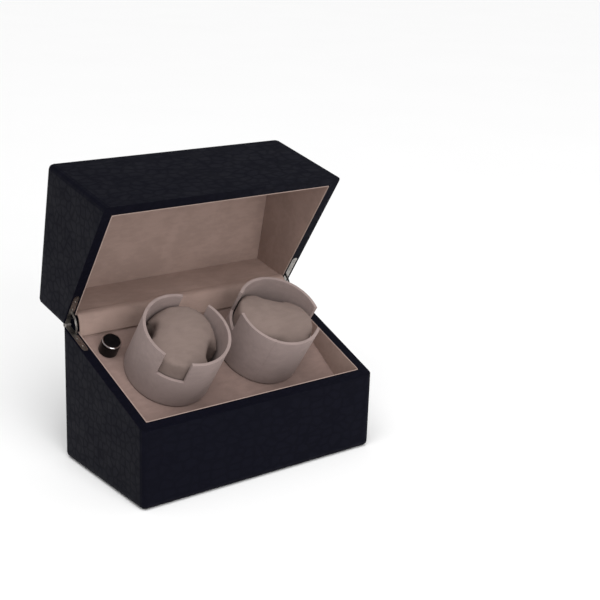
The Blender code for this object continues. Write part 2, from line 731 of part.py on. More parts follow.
def make_cup(side, sign, deck_frame, deck_panel):
    """One cup with its floor, spindle, bush, pulley and cushion; the notches lie along local X."""
    centre = (sign * CUP_SPACING / 2, CUP_UP_DECK, 0)
    axis = empty(f"cup_axis_{side}", deck_frame, centre, (0, 0, CUP_ANGLES[side]))

    fold = CUP_WALL / 3
    sleeve = turned(f"cup_sleeve_{side}", [
        (CUP_RADIUS - fold, CUP_TOP), (CUP_RADIUS, CUP_TOP - fold), (CUP_RADIUS, CUP_BOTTOM + fold),
        (CUP_RADIUS - fold, CUP_BOTTOM), (CUP_INNER_RADIUS, CUP_BOTTOM),
        (CUP_INNER_RADIUS, CUP_TOP - fold), (CUP_INNER_RADIUS + fold, CUP_TOP)], "suede", parent=axis)
    notch = box("notch", (-CUP_RADIUS - PAST, -NOTCH_WIDTH / 2, CUP_TOP - NOTCH_DEPTH),
                (CUP_RADIUS + PAST, NOTCH_WIDTH / 2, CUP_TOP + PAST))
    boolean(sleeve, cutter(f"notch_{side}", notch, parent=axis))

    bore = SPINDLE_RADIUS + GAP
    floor_edge = CUP_INNER_RADIUS - GAP
    hub_bottom = GAP + BUSH_FLANGE_THICKNESS + GAP
    turned(f"cup_floor_{side}", [
        (floor_edge, FLOOR_BOTTOM + FLOOR), (floor_edge, FLOOR_BOTTOM), (BUSH_FLANGE, FLOOR_BOTTOM),
        (BUSH_FLANGE, hub_bottom), (bore, hub_bottom), (bore, FLOOR_BOTTOM + FLOOR)],
        "white_plastic", parent=axis)
    turned(f"spindle_{side}", [(0.0, FLOOR_BOTTOM + FLOOR), (SPINDLE_RADIUS, FLOOR_BOTTOM + FLOOR),
                               (SPINDLE_RADIUS, -SPINDLE_BELOW), (0.0, -SPINDLE_BELOW)],
           "steel", steps=SMALL_ROUND, parent=axis)

    outside = bore + BUSH_WALL
    turned(f"bush_{side}", [
        (BUSH_FLANGE, GAP + BUSH_FLANGE_THICKNESS), (BUSH_FLANGE, GAP), (outside, GAP),
        (outside, -BUSH_BELOW), (bore, -BUSH_BELOW), (bore, GAP + BUSH_FLANGE_THICKNESS)],
        "brass", steps=SMALL_ROUND, parent=deck_frame, location=centre)
    hole = cylinder("bush_hole", outside + GAP, -DECK - PAST, PAST)
    boolean(deck_panel, cutter(f"bush_hole_{side}", hole, parent=deck_frame, location=centre))

    pulley(f"driven_pulley_{side}", DRIVEN_PITCH_RADIUS, bore, axis)
    make_cushion(side, axis)


def pulley(name, pitch_radius, bore, axis, hub=None):
    """A flanged belt pulley; a bore of zero gives a solid one with a shaft of radius hub below."""
    groove = pitch_radius - BELT / 2 - GAP
    edge = pitch_radius + BELT / 2 + PULLEY_STAND
    top, bottom = PULLEY_TOP, PULLEY_TOP - PULLEY_WIDTH
    outer = [(edge, top), (edge, top - PULLEY_LIP), (groove, top - PULLEY_LIP - PULLEY_EASE),
             (groove, bottom + PULLEY_LIP + PULLEY_EASE), (edge, bottom + PULLEY_LIP), (edge, bottom)]
    if bore > 0.0:
        turned(name, [*outer, (bore, bottom), (bore, top)], "white_plastic", steps=SMALL_ROUND, parent=axis)
        return
    shaft_end = MOTOR_TOP - MOTOR_BORE + PULLEY_RISE
    turned(name, [(0.0, top), *outer, (hub, bottom), (hub, shaft_end), (0.0, shaft_end)],
           "brass", steps=SMALL_ROUND, parent=axis)


def make_cushion(side, axis):
    """The lift-out cushion: an arched block as round as the cup, with a channel for the strap each side."""
    radius = CUP_INNER_RADIUS - CUSHION_CLEARANCE
    bottom = FLOOR_BOTTOM + FLOOR + GAP
    rise = CUSHION_TOP - CUSHION_SHOULDER
    reach = radius + CUSHION_CLEARANCE
    arch = [(reach * math.cos(a), CUSHION_SHOULDER + rise * math.sin(a))
            for a in (math.pi * i / 16 for i in range(17))]
    mesh = side_outline("cushion", [[(-reach, bottom), (reach, bottom), *arch]], -reach, reach)
    cushion = piece(f"cushion_{side}", mesh, "cushion", parent=axis)
    drum = cylinder("cushion_drum", radius, 0.0, CUP_TOP + PAST, steps=ROUND)
    boolean(cushion, cutter(f"cushion_drum_{side}", drum, parent=axis), "INTERSECT")
    for index, sign in enumerate((-1, 1)):
        inner = sign * (radius - STRAP_DEPTH)
        outer = sign * (radius + PAST)
        channel = box("strap", (-STRAP_WIDTH / 2, min(inner, outer), 0.0),
                      (STRAP_WIDTH / 2, max(inner, outer), CUP_TOP + PAST))
        boolean(cushion, cutter(f"strap_{side}_{index}", channel, parent=axis))
    smooth(cushion)


def belt_loop(offset, sign):
    """A belt's loop about the driven pulley (at zero) and the motor's, at an offset from its middle."""
    big, small = DRIVEN_PITCH_RADIUS + offset, MOTOR_PITCH_RADIUS + offset
    lean = math.acos((big - small) / MOTOR_OFFSET)
    wide = arc(big, lean, math.tau - lean, 20)
    narrow = [(MOTOR_OFFSET + x, y) for x, y in arc(small, -lean, lean, 8)]
    return [(sign * x, y) for x, y in wide + narrow]


def make_motor(side, sign, deck_frame):
    """The gear motor on its bracket beside the cup's spindle, its pulley and the belt."""
    cup_x = sign * CUP_SPACING / 2
    centre = (cup_x - sign * MOTOR_OFFSET, CUP_UP_DECK, 0)
    axis = empty(f"motor_axis_{side}", deck_frame, centre)
    pulley(f"motor_pulley_{side}", MOTOR_PITCH_RADIUS, 0.0, axis, hub=MOTOR_SHAFT_RADIUS)

    belt = outline("belt", [belt_loop(BELT / 2, -sign), belt_loop(-BELT / 2, -sign)],
                   PULLEY_WIDTH - 2 * PULLEY_LIP - 4 * PULLEY_EASE)
    piece(f"drive_belt_{side}", belt, "rubber", parent=deck_frame,
          location=(cup_x, CUP_UP_DECK, PULLEY_MIDDLE))

    head_low = MOTOR_TOP - MOTOR_HEAD
    motor = turned(f"gear_motor_{side}", [
        (0.0, MOTOR_TOP), (MOTOR_RADIUS, MOTOR_TOP), (MOTOR_RADIUS, head_low),
        (MOTOR_CAN_RADIUS, head_low), (MOTOR_CAN_RADIUS, MOTOR_TOP - MOTOR_LENGTH),
        (0.0, MOTOR_TOP - MOTOR_LENGTH)], "steel", steps=SMALL_ROUND, parent=deck_frame, location=centre)
    nose = cylinder("motor_bore", MOTOR_SHAFT_RADIUS + GAP, MOTOR_TOP - MOTOR_BORE, MOTOR_TOP + PAST)
    boolean(motor, cutter(f"motor_bore_{side}", nose, parent=deck_frame, location=centre))

    bracket_outline = bracket_section()
    mesh = outline("bracket", [bracket_outline], BRACKET_WIDTH)
    mesh.transform(Matrix.Rotation(math.pi / 2, 4, "Z") @ Matrix.Rotation(math.pi / 2, 4, "X"))
    bracket = piece(f"motor_bracket_{side}", mesh, "steel", parent=deck_frame, location=centre)
    hole = cylinder("bracket_hole", MOTOR_SHAFT_RADIUS + BRACKET_CLEARANCE, -MOTOR_LENGTH - PAST, 0.0)
    boolean(bracket, cutter(f"bracket_hole_{side}", hole, parent=deck_frame, location=centre))


def bracket_section():
    """A hat-shaped bracket seen from the side: feet under the deck, legs down to the motor's plate."""
    top = -DECK - GAP
    low = -BRACKET_DROP - BRACKET
    leg = MOTOR_RADIUS + BRACKET_ROOM
    foot = leg + BRACKET_FOOT
    right = [(leg - BRACKET, -BRACKET_DROP), (leg - BRACKET, top), (foot, top), (foot, top - BRACKET),
             (leg, top - BRACKET), (leg, low)]
    return right + [(-x, z) for x, z in reversed(right)]


# ---------------------------------------------------------------- knob, switch, power

def make_knob(deck_frame, deck_panel):
    """The rotary knob with its bright ring, on a switch whose collar and nut clamp it to the deck."""
    centre = (KNOB_X, KNOB_UP_DECK, 0)
    axis = empty("knob_axis", deck_frame, centre)
    top = KNOB_LIFT + KNOB_HEIGHT
    seat = KNOB_RADIUS - KNOB_RING
    bore = SWITCH_SHAFT_RADIUS + GAP
    nut_top = GAP + NUT
    room, room_top = NUT_RADIUS + NUT_ROOM, nut_top + 2 * NUT_ROOM
    turned("mode_knob", [
        (0.0, top - GAP), (seat - GAP, top - GAP), (seat - GAP, top - KNOB_RING - GAP),
        (KNOB_RADIUS - GAP, top - KNOB_RING - GAP), (KNOB_RADIUS, top - KNOB_WEB), (KNOB_RADIUS, KNOB_LIFT),
        (room, KNOB_LIFT), (room, room_top), (bore, room_top),
        (bore, top - KNOB_WEB), (0.0, top - KNOB_WEB)], "black_gloss", parent=axis)
    turned("knob_ring", [
        (KNOB_RADIUS - KNOB_RING_EASE, top), (KNOB_RADIUS, top - KNOB_RING_EASE),
        (KNOB_RADIUS, top - KNOB_RING),
        (seat, top - KNOB_RING), (seat, top)], "chrome", parent=axis)
    collar = bore + SWITCH_COLLAR
    body_top = -DECK - GAP
    shaft_low = body_top - SHAFT_BELOW
    shaft_top = top - KNOB_WEB - SHAFT_SHY
    turned("switch_shaft", [(0.0, shaft_top), (SWITCH_SHAFT_RADIUS, shaft_top),
                            (SWITCH_SHAFT_RADIUS, shaft_low), (0.0, shaft_low)],
           "steel", steps=SMALL_ROUND, parent=axis)

    width, length, depth = SWITCH_SIZE
    body = piece("switch_body", box("switch_body", (-width / 2, -length / 2, body_top - depth),
                                    (width / 2, length / 2, body_top)),
                 "black_plastic", parent=deck_frame, location=centre)
    tube = cylinder("switch_collar", collar, body_top - COLLAR_ROOT, nut_top + COLLAR_PROUD)
    boolean(body, cutter("switch_collar", tube, parent=deck_frame, location=centre), "UNION")
    inside = cylinder("switch_bore", bore, shaft_low - GAP, PAST)
    boolean(body, cutter("switch_bore", inside, parent=deck_frame, location=centre))
    nut = piece("switch_nut", cylinder("switch_nut", NUT_RADIUS, GAP, nut_top, steps=6), "nickel",
                parent=deck_frame, location=centre)
    thread = cylinder("switch_hole", collar + GAP, -DECK - PAST, PAST)
    hole = cutter("switch_hole", thread, parent=deck_frame, location=centre)
    boolean(nut, hole)
    boolean(deck_panel, hole)


def make_inlet(plates):
    """The low-voltage power inlet through the back wall, its mouth towards +Y."""
    place = {"location": (INLET_X, DEPTH / 2, INLET_Z), "rotation": (-math.pi / 2, 0, 0)}
    face = GAP + INLET_FACE
    tail = -BACK_WALL - INLET_TAIL
    turned("power_inlet", [
        (INLET_FLANGE, face), (INLET_FLANGE, GAP), (INLET_RADIUS, GAP), (INLET_RADIUS, tail), (0.0, tail),
        (0.0, face - INLET_PIN_SHY), (INLET_PIN, face - INLET_PIN_SHY), (INLET_PIN, -SOCKET_DEPTH),
        (SOCKET_RADIUS, -SOCKET_DEPTH),
        (SOCKET_RADIUS, face)], "black_plastic", steps=SMALL_ROUND, **place)
    bore = cylinder("inlet_hole", INLET_RADIUS + GAP, -BACK_WALL - PAST, PAST)
    hole = cutter("inlet_hole", bore, **place)
    for plate in plates:
        boolean(plate, hole)


def make_board():
    """The control board on its pillars, with its sockets, a chip and a capacitor."""
    width, length, thickness = BOARD_SIZE
    low = BOARD_LIFT
    place = {"location": (*BOARD_PLACE, PANEL_TOP + GAP)}
    board = piece("control_board", box("control_board", (-width / 2, -length / 2, low),
                                       (width / 2, length / 2, low + thickness)), "board", **place)
    tools = []
    pillar_x, pillar_y = width / 2 - PILLAR_INSET, length / 2 - PILLAR_INSET
    for x in (-pillar_x, pillar_x):
        for y in (-pillar_y, pillar_y):
            pillar = cylinder("pillar", PILLAR_RADIUS, 0.0, low + BOARD_ROOT, steps=TINY_ROUND)
            pillar.transform(Matrix.Translation((x, y, 0)))
            tools.append(pillar)
    top = low + thickness - BOARD_ROOT
    long, wide, tall = SOCKET_SIZE
    for x in SOCKETS.values():
        tools.append(box("socket", (x - long / 2, SOCKET_ROW - wide / 2, top),
                         (x + long / 2, SOCKET_ROW + wide / 2, low + thickness + tall)))
    tools.append(box("chip", (*CHIP_LOW, top), (*CHIP_HIGH, top + CHIP)))
    capacitor = cylinder("capacitor", CAPACITOR_RADIUS, top, top + CAPACITOR, steps=TINY_ROUND)
    capacitor.transform(Matrix.Translation((*CAPACITOR_PLACE, 0)))
    tools.append(capacitor)
    for index, mesh in enumerate(tools):
        boolean(board, cutter(f"board_part_{index}", mesh, **place), "UNION")


def smooth_path(points, step):
    """Points a step apart on a smooth curve through the given ones."""
    ends = [2 * points[0] - points[1], *points, 2 * points[-1] - points[-2]]
    path = []
    for before, start, end, after in zip(ends, ends[1:], ends[2:], ends[3:]):
        count = max(1, round((end - start).length / step))
        for i in range(count):
            t = i / count
            bend = 2 * before - 5 * start + 4 * end - after
            twist = 3 * start - before - 3 * end + after
            path.append((2 * start + (end - before) * t + bend * t ** 2 + twist * t ** 3) / 2)
    return [*path, points[-1]]


def make_lead(name, points):
    """A thin lead inside the base, a round tube along a smooth path."""
    path = smooth_path([Vector(point) for point in points], LEAD_STEP)
    curve = bpy.data.curves.new(name, "CURVE")
    curve.dimensions = "3D"
    curve.bevel_depth = LEAD_RADIUS
    curve.bevel_resolution = 1
    curve.use_fill_caps = True
    spline = curve.splines.new("POLY")
    spline.points.add(len(path) - 1)
    for point, place in zip(spline.points, path):
        point.co = (*place, 1.0)
    piece(name, curve, "rubber")


def socket_mouth(name):
    """A place just above one of the board's sockets."""
    top = PANEL_TOP + GAP + BOARD_LIFT + BOARD_SIZE[2] + SOCKET_SIZE[2]
    return Vector((BOARD_PLACE[0] + SOCKETS[name], BOARD_PLACE[1] + SOCKET_ROW, top + LEAD_GAP))


def make_leads(deck_frame):
    """The leads from the inlet, the switch and both motors to the control board."""
    bpy.context.view_layer.update()
    up = Vector((0, 0, LEAD_RISE))
    tail = Vector((INLET_X, DEPTH / 2 - BACK_WALL - INLET_TAIL - LEAD_GAP, INLET_Z))
    mouth = socket_mouth("power")
    make_lead("inlet_lead", [tail, tail - Vector((0, LEAD_REACH, 0)), mouth + 2 * up, mouth])

    switch_low = -DECK - GAP - SWITCH_SIZE[2] - LEAD_GAP
    under_switch = deck_frame.matrix_world @ Vector((KNOB_X, KNOB_UP_DECK, switch_low))
    down = deck_frame.matrix_world.to_3x3() @ Vector((0, 0, -1))
    mouth = socket_mouth("switch")
    middle = (under_switch + mouth) / 2 + Vector((0, LEAD_REACH, 0))
    make_lead("switch_lead",
              [under_switch, under_switch + LEAD_REACH * down, middle, mouth + 2 * up, mouth])

    for side, sign in (("left", -1), ("right", 1)):
        motor_x = sign * (CUP_SPACING / 2 - MOTOR_OFFSET)
        motor_end = MOTOR_TOP - MOTOR_LENGTH - LEAD_GAP
        start = deck_frame.matrix_world @ Vector((motor_x, CUP_UP_DECK, motor_end))
        mouth = socket_mouth(side)
        middle = (start + mouth) / 2 - up
        make_lead(f"motor_lead_{side}", [start, start + LEAD_RISE * down, middle, mouth + 2 * up, mouth])


# ---------------------------------------------------------------- whole object

def main():
    """Make every piece."""
    base_case = make_base_case()
    base_leather = make_base_leather()
    make_underside()
    make_base_lining()
    deck_panel = make_deck()

    lid_axis = empty("lid_axis", location=HINGE, rotation=(-LID_OPEN, 0, 0))
    lid_plates = make_lid(lid_axis)
    base_plates = (base_case, base_leather)
    make_hinges(lid_axis, base_plates, lid_plates)
    make_hinge_cloth()

    deck_frame = empty("deck_frame", location=DECK_START, rotation=(DECK_SLOPE, 0, 0))
    for side, sign in (("left", -1), ("right", 1)):
        make_cup(side, sign, deck_frame, deck_panel)
        make_motor(side, sign, deck_frame)
    make_knob(deck_frame, deck_panel)
    make_inlet(base_plates)
    make_board()
    make_leads(deck_frame)


clear_scene()
PARTS = collection("watch_winder_box")
CUTTERS = collection("cutters")
main()
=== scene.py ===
# %% [markdown]
# # A watch winder box for two watches
#
# The box stands open: a leather-covered base with a sloping deck, a deep lid on two quadrant
# hinges, and two suede cups that turn slowly with a watch in each. The hard parts come ready
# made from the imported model, in metres, each at its own place. What this lesson adds is what
# the eye believes: leather, suede and metal finishes, the sewn cups, the stuffed cushions, the
# cloth over the hinge, and the light.

# %% Load the box
import json
import math

import bmesh
import bpy
import numpy as np
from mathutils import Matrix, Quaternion, Vector


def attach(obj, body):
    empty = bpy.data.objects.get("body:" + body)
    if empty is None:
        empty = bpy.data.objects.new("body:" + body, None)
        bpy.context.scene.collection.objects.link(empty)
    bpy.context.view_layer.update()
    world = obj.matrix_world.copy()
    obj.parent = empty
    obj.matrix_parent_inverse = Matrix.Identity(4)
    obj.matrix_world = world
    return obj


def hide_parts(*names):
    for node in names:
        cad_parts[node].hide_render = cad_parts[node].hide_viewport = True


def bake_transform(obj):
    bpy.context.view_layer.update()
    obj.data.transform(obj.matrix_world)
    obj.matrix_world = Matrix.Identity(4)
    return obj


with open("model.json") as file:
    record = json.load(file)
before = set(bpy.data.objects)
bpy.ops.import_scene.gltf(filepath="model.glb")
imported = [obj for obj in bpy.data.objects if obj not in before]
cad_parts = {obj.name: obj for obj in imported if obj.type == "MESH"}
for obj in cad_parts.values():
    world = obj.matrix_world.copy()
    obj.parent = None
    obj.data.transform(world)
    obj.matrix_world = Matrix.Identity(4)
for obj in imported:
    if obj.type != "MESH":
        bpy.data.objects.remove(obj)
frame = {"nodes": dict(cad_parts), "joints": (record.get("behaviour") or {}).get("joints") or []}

NODES = frame["nodes"]
JOINTS = {joint["name"]: joint for joint in frame["joints"]}
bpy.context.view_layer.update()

# %% [markdown]
# ## The camera
#
# The view is a shop's three-quarter view: from the front left and a little above, with a long
# lens so that the box's edges stay nearly parallel. A camera could be given as two angles and a
# distance; here it is a place and a point to aim at, which is how one is set on a tripod, plus
# the small tilt that a hand-levelled tripod leaves.

# %% Place the camera
CAMERA_PLACE = Vector((-0.7007, -1.0056, 0.5527))
CAMERA_AIM = Vector((0.01094, -0.10979, 0.19062))
CAMERA_TILT = math.radians(2.06)
CAMERA_LENS, CAMERA_SENSOR = 77.7, 36.0  # mm: the focal length and the sensor's width
CAMERA_NEAR, CAMERA_FAR = 0.05, 60.0

camera_data = bpy.data.cameras.new("camera")
camera_data.lens = CAMERA_LENS
camera_data.sensor_width = CAMERA_SENSOR
camera_data.clip_start, camera_data.clip_end = CAMERA_NEAR, CAMERA_FAR
camera = bpy.data.objects.new("camera", camera_data)
bpy.context.scene.collection.objects.link(camera)
camera.rotation_mode = "QUATERNION"
camera.location = CAMERA_PLACE
camera.rotation_quaternion = ((CAMERA_AIM - CAMERA_PLACE).to_track_quat("-Z", "Y")
                              @ Quaternion((0, 0, 1), CAMERA_TILT))
bpy.context.scene.camera = camera
print("camera", round((CAMERA_AIM - CAMERA_PLACE).length, 3), "m from its aim")

# %% [markdown]
# ## Surfaces from formulas
#
# Every new piece is a sheet of points worked out by numpy and handed to Blender in one go. A
# grid of rows and columns is enough for all of them: a tube is a grid whose columns close on
# themselves, and a bead round the rim closes both ways. Holes, as at the cups' notches, are
# faces left out of the grid.

# %% Grids into meshes
def grid_piece(name, points, wrap_rows=False, wrap_columns=False, keep=None):
    """A mesh from an array of points with rows, columns and x, y, z. Each face joins a row and
    column with the next ones; a wrapped direction joins its last line to its first. keep is one
    true or false for each face, row by row."""
    rows, columns = points.shape[:2]
    row = np.arange(rows if wrap_rows else rows - 1)
    column = np.arange(columns if wrap_columns else columns - 1)
    r, c = (a.ravel() for a in np.meshgrid(row, column, indexing="ij"))
    r1, c1 = (r + 1) % rows, (c + 1) % columns
    faces = np.stack([r * columns + c, r * columns + c1, r1 * columns + c1, r1 * columns + c], 1)
    if keep is not None:
        faces = faces[np.asarray(keep).ravel()]
    used, faces = np.unique(faces, return_inverse=True)
    mesh = bpy.data.meshes.new(name)
    mesh.from_pydata(points.reshape(-1, 3)[used].tolist(), [], faces.reshape(-1, 4).tolist())
    mesh.shade_smooth()
    piece = bpy.data.objects.new(name, mesh)
    bpy.context.scene.collection.objects.link(piece)
    return piece


def solidify(piece, thickness):
    """Gives a sheet its thickness, half of it on each side."""
    wall = piece.modifiers.new("thickness", "SOLIDIFY")
    wall.thickness, wall.offset, wall.use_even_offset = thickness, 0.0, True


def round_edges(piece, width, segments, angle):
    """Rounds the edges that are sharper than the angle, in degrees, to about the width."""
    bevel = piece.modifiers.new("round edges", "BEVEL")
    bevel.width, bevel.segments, bevel.limit_method = width, segments, "ANGLE"
    bevel.angle_limit, bevel.use_clamp_overlap = math.radians(angle), True


def finish_piece(piece, material, body):
    """Gives a piece its finish and the body that it moves with."""
    piece.data.materials.clear()
    piece.data.materials.append(material)
    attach(piece, body)
    print(piece.name, len(piece.data.polygons), "faces, on", body)

# %% [markdown]
# ## Building finishes
#
# A finish is a small net of nodes round one Principled shader. The same few steps come back in
# all of them: a noise or a cell pattern read in metres from the object's own coordinates, a
# remapping, a mix of two colours, a bump. So each is one short helper, and the finishes below
# read like recipes. Values that are the same all over are put on the shader itself.

# %% Helpers for finishes
def finish(name, **values):
    """A new material whose Principled shader has these values, spaces written as underscores."""
    material = bpy.data.materials.new(name)
    material.use_nodes = True
    shader = material.node_tree.nodes["Principled BSDF"]
    for key, value in values.items():
        shader.inputs[key.replace("_", " ")].default_value = value
    return material


def feed(material, socket, value):
    """Gives a socket its value: a node's output is linked, and anything else is written."""
    if isinstance(value, bpy.types.NodeSocket):
        material.node_tree.links.new(value, socket)
    else:
        socket.default_value = value


def node(material, kind, settings=None, **inputs):
    """A node of that kind with its settings, each input either a value or another's output."""
    made = material.node_tree.nodes.new("ShaderNode" + kind)
    for key, value in (settings or {}).items():
        setattr(made, key, value)
    for key, value in inputs.items():
        feed(material, made.inputs[key.replace("_", " ")], value)
    return made


def place(material, stretch=(1, 1, 1), turn=(0, 0, 0)):
    """The object's own coordinates in metres, stretched and turned."""
    own = node(material, "TexCoord").outputs["Object"]
    return node(material, "Mapping", Vector=own, Scale=stretch, Rotation=turn).outputs["Vector"]


def noise(material, where, scale, detail=2.0, roughness=0.5, distortion=0.0):
    """Soft noise from 0 to 1; the scale is in waves a metre."""
    return node(material, "TexNoise", Vector=where, Scale=scale, Detail=detail,
                Roughness=roughness, Distortion=distortion).outputs["Fac"]


def remap(material, value, low, high, to_low=0.0, to_high=1.0):
    """Stretches low..high to to_low..to_high with soft ends, and stops there."""
    made = node(material, "MapRange", {"interpolation_type": "SMOOTHSTEP"}, Value=value,
                From_Min=low, From_Max=high, To_Min=to_low, To_Max=to_high)
    return made.outputs["Result"]


def maths(material, operation, a, b):
    """One operation on two values, each a number or a node's output."""
    made = node(material, "Math", {"operation": operation})
    for socket, value in zip(made.inputs, (a, b)):
        feed(material, socket, value)
    return made.outputs["Value"]


def vector_maths(material, operation, *vectors, **inputs):
    """One operation on vectors, each three numbers or a node's output."""
    made = node(material, "VectorMath", {"operation": operation}, **inputs)
    for socket, value in zip(made.inputs, vectors):
        feed(material, socket, value)
    return made.outputs["Vector"]


MIX_SHARE, MIX_FIRST, MIX_SECOND, MIX_RESULT = 0, 6, 7, 2  # a colour mix's own sockets


def blend_colours(material, share, first, second):
    """A mix of two colours, each a node's output or red, green and blue."""
    made = node(material, "Mix", {"data_type": "RGBA"})
    for index, value in ((MIX_SHARE, share), (MIX_FIRST, first), (MIX_SECOND, second)):
        feed(material, made.inputs[index], (*value, 1.0) if isinstance(value, tuple) else value)
    return made.outputs[MIX_RESULT]


def wire(material, colour=None, roughness=None, height=None, depth=0.0002, strength=1.0):
    """Wires a finish to its shader: colour, roughness, and a bump as deep as depth, in metres."""
    shader = material.node_tree.nodes["Principled BSDF"]
    for key, value in (("Base Color", colour), ("Roughness", roughness)):
        if value is not None:
            material.node_tree.links.new(value, shader.inputs[key])
    if height is not None:
        bump = node(material, "Bump", Height=height, Distance=depth, Strength=strength)
        material.node_tree.links.new(bump.outputs["Normal"], shader.inputs["Normal"])
    return material

# %% [markdown]
# ## Navy leather
#
# The box is covered in calf leather pressed with a crocodile pattern: rows of rounded scales
# with narrow creases between them, and the skin's own fine pebble on top. It could be modelled
# scale by scale, but the scales stand only a quarter of a millimetre high, so cells of a
# Voronoi pattern, bent by a slow noise, are enough. The creases are painted darker, as painted
# shade, and the finish is worn a little shinier on the crowns.

# %% Leather
SCALES, SCALE_STRETCH = 112.0, (0.62, 1.0, 1.0)  # scales a metre, and how they are drawn out
SCALE_RISE = 0.24  # how far in from its crease a scale goes on rising
BEND_WAVES, BEND_REACH = 38.0, 0.009  # the slow bending of the rows: waves a metre, and metres
PEBBLES = 1500.0  # a metre
SCALE_SHARE, PEBBLE_SHARE = 0.8, 0.13  # of the relief
LEATHER_DEPTH = 0.00022


def leather(name, crown, crease_shade, shine):
    """Leather pressed with scales in the crown colour; the darker crease colour is painted shade in
    the creases.
    """
    made = finish(name, Specular_IOR_Level=shine)
    flat = place(made)
    bend = node(made, "TexNoise", Vector=flat, Scale=BEND_WAVES, Detail=2.0).outputs["Color"]
    push = vector_maths(made, "SUBTRACT", bend, (0.5, 0.5, 0.5))
    push = vector_maths(made, "SCALE", push, Scale=BEND_REACH)
    bent = vector_maths(made, "ADD", flat, push)
    long = node(made, "Mapping", Vector=bent, Scale=SCALE_STRETCH).outputs["Vector"]
    edge = node(made, "TexVoronoi", {"feature": "DISTANCE_TO_EDGE"}, Vector=long,
                Scale=SCALES, Randomness=0.72).outputs["Distance"]
    scales = remap(made, edge, 0.0, SCALE_RISE)
    pebble = node(made, "TexVoronoi", {"feature": "SMOOTH_F1"}, Vector=flat, Scale=PEBBLES,
                  Smoothness=0.6, Randomness=0.9).outputs["Distance"]
    pebble = remap(made, pebble, 0.1, 0.75, 1.0, 0.0)
    drift = noise(made, flat, 9.0, 3.0)
    relief = maths(made, "ADD", maths(made, "MULTIPLY", scales, SCALE_SHARE),
                   maths(made, "MULTIPLY", pebble, PEBBLE_SHARE))
    # painted shade: in the creases the colour runs to the darker crease colour; a slow drift also
    # varies it at random
    tone = maths(made, "MULTIPLY", scales, remap(made, drift, 0.3, 0.7, 0.55, 1.0))
    colour = blend_colours(made, tone, crease_shade, crown)
    dull = maths(made, "SUBTRACT", remap(made, noise(made, flat, 60.0, 4.0), 0.3, 0.7, 0.52, 0.62),
                 maths(made, "MULTIPLY", scales, 0.09))
    return wire(made, colour, dull, relief, depth=LEATHER_DEPTH, strength=0.36)


# the crown colour, then the darker crease colour that is painted shade in the creases
navy_leather = leather("navy_leather", (0.0036, 0.0037, 0.0078), (0.0028, 0.0029, 0.0062), 0.032)
print("leather with scales about", round(1000 / SCALES, 1), "mm across")

# %% [markdown]
# ## Suede
#
# The lining, deck, cups and cushions are all suede, brushed so that the nap lies in soft
# patches, lighter one way and darker the other. Up close the nap is a mat of fibres under half
# a millimetre long, and the light catches their tips where the surface turns away: that is what
# the shader's sheen does. The hollows between the fibres are darkened as painted shade. One
# recipe keeps its colours a family.

# %% Suede
PATCH_WAVES, STROKE_WAVES, FIBRE_WAVES = 26.0, 190.0, 2600.0  # a metre
STROKE_STRETCH, STROKE_TURN = (0.35, 1.0, 1.0), (0, 0, 0.5)
SUEDE_DEPTH = 0.00016


def suede(name, colour, nap=0.10, sheen=0.35):
    """Brushed suede in a colour; nap is how far the brushed patches drift from it."""
    tips = tuple(min(1.0, 1.25 * c + 0.02) for c in colour)
    made = finish(name, Specular_IOR_Level=0.08, Sheen_Weight=sheen, Sheen_Roughness=0.55,
                  Sheen_Tint=(*tips, 1.0))
    flat = place(made)
    patches = noise(made, flat, PATCH_WAVES, 3.0, 0.55, 0.6)
    strokes = noise(made, place(made, STROKE_STRETCH, STROKE_TURN), STROKE_WAVES, 3.0, 0.6)
    fibres = noise(made, flat, FIBRE_WAVES, 2.0, 0.7)
    lie = maths(made, "ADD", maths(made, "MULTIPLY", patches, 0.6),
                maths(made, "MULTIPLY", strokes, 0.4))
    dark = tuple(c * (1.0 - 1.6 * nap) for c in colour)
    light = tuple(c * (1.0 + nap) for c in colour)
    base = blend_colours(made, remap(made, lie, 0.38, 0.62), dark, light)
    # painted shade: where the fibres' bump is low, the colour runs towards a darker copy of itself
    fibre_hollow_shade = tuple(c * 0.72 for c in colour)
    mixed = blend_colours(made, remap(made, fibres, 0.30, 0.52, 0.35, 0.0), base, fibre_hollow_shade)
    height = maths(made, "ADD", maths(made, "MULTIPLY", fibres, 0.75),
                   maths(made, "MULTIPLY", strokes, 0.25))
    dull = remap(made, lie, 0.35, 0.65, 0.98, 0.88)
    return wire(made, mixed, dull, height, depth=SUEDE_DEPTH, strength=0.55)


lining_suede = suede("lining_suede", (0.315, 0.226, 0.194), nap=0.06)
deck_suede = suede("deck_suede", (0.232, 0.163, 0.143), nap=0.07)
cup_suede = suede("cup_suede", (0.260, 0.203, 0.190), nap=0.05, sheen=0.40)
# darker than the cup's suede: partly its own colour, partly painted shade of the watches strapped
# on the cushions
cushion_suede = suede("cushion_suede", (0.185, 0.140, 0.124), nap=0.05, sheen=0.30)
print("suede in four colours")

# %% [markdown]
# ## Metal, plastic and the rest
#
# Small hard parts are told apart by how they were made: plated leaves are drawn with fine
# straight scratches, turned steel has a softer haze, moulded plastic a faint orange peel, and
# the rubber belt is dull. Under the lid's leather there is dyed fibreboard, and under the base
# a sheet of pressed wool felt.

# %% Hard finishes
HAZE_SHADE, WORN_SHADE = 1.0 - 0.12, 0.82  # how dark the hazed and the worn patches are
ALL_WAYS = (1, 1, 1)  # turned metal: no direction to its scratches


